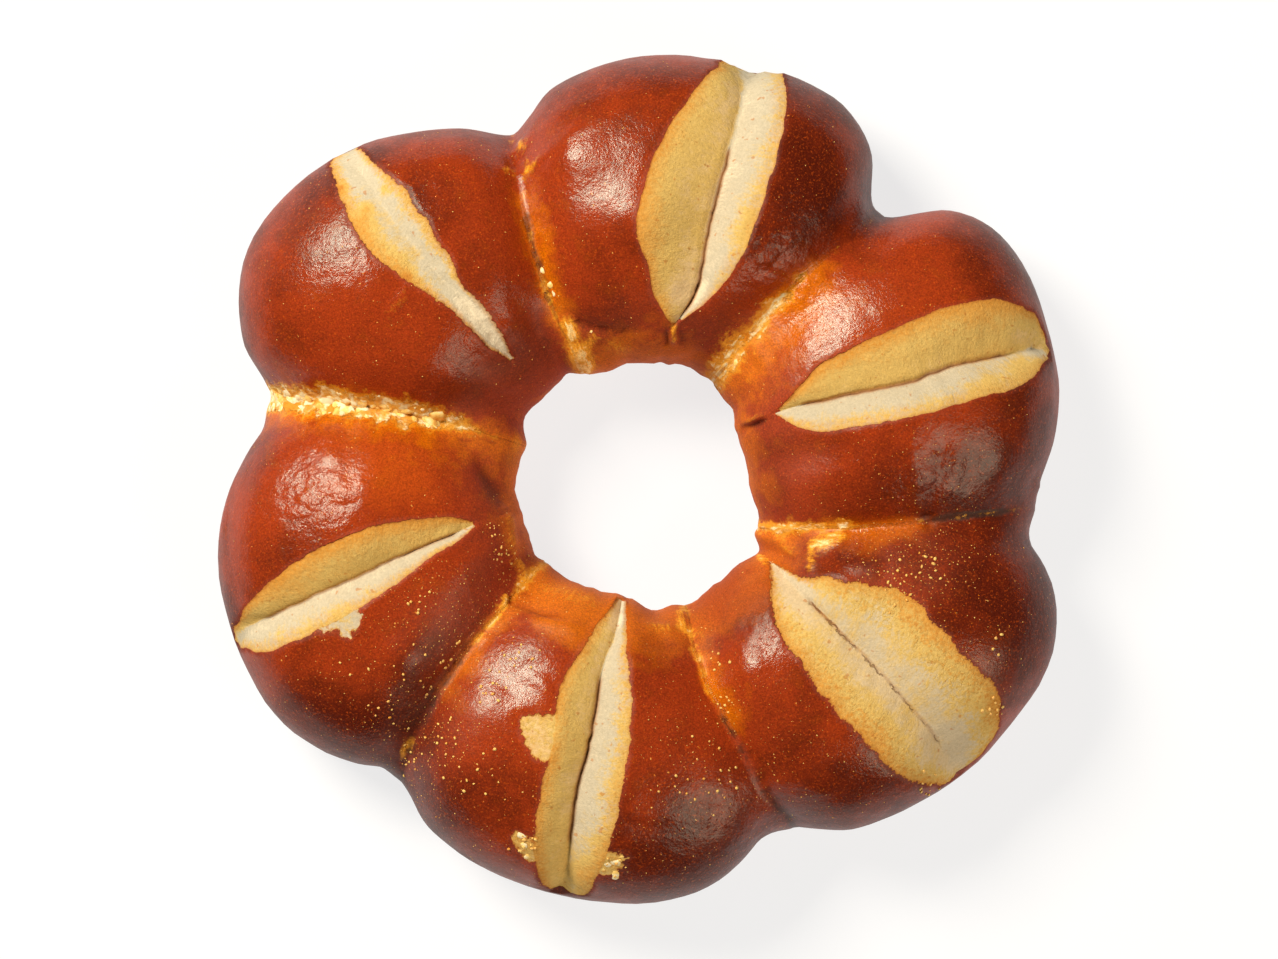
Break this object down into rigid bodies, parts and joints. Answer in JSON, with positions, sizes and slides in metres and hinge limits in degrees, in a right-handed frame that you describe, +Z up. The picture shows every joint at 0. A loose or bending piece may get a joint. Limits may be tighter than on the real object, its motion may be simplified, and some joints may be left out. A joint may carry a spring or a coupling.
{
  "type": "pretzel bread ring",
  "caption": "Ring of soft pretzel rolls baked together round an open hole, with a glossy dark crust split by pale scores.",
  "frame": {"origin": "middle of the ring, on the flat base that it rests on", "axes": "+Z up; +X and +Y lie in the ring's plane, and +Y runs through the roll whose score stands widest open"},
  "size_m": [0.2096, 0.2112, 0.0474],
  "materials": {
    "crust": "glossy lye-baked crust, mahogany brown, pale crumb in the scores",
    "crumb": "matte baked crumbs"
  },
  "bodies": {
    "root": {"pretzel_ring": "crust"}
  },
  "joints": []
}
